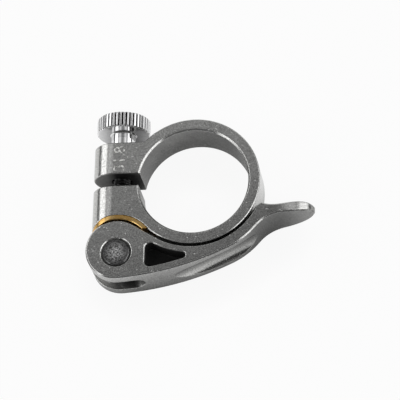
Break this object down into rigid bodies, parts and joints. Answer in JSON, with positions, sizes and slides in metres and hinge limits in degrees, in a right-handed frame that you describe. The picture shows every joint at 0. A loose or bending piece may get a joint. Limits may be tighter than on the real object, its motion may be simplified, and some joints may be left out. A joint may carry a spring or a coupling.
{
  "type": "quick-release seatpost clamp",
  "caption": "Split collar with half-round ears, closed by an eccentric cam lever on a cross barrel, a brass cam washer, a stud and a knurled thumb nut; clamps a seatpost in a seat tube.",
  "frame": {"origin": "centre of the seat tube bore at half the collar's height", "axes": "+Z along the seat tube, +Y along the stud towards the thumb nut, the ears and the slit towards -X, the finger tab towards +X"},
  "size_m": [0.0651, 0.0515, 0.0156],
  "materials": {
    "collar_alloy": "polished grey, fine speckle",
    "washer_brass": "plain bent strip",
    "barrel_steel": "mottled end faces",
    "stud_steel": "threaded, dark oiled",
    "lever_alloy": "polished grey, fine speckle",
    "nut_chrome": "bright chrome, straight knurl"
  },
  "bodies": {
    "collar": {"clamp_collar": "collar_alloy", "cam_washer": "washer_brass", "pivot_barrel": "barrel_steel", "stud": "stud_steel"},
    "lever": {"cam_lever": "lever_alloy"},
    "nut": {"thumb_nut": "nut_chrome"}
  },
  "joints": [
    {"name": "lever_swing", "type": "hinge", "parent": "collar", "child": "lever", "pos_m": [-0.0218, -0.02133, 0], "axis": [0, 0, -1], "range_deg": [0, 165]},
    {"name": "nut_turn", "type": "hinge", "parent": "collar", "child": "nut", "pos_m": [-0.0218, 0.0175, 0], "axis": [0, 1, 0], "continuous": true}
  ]
}
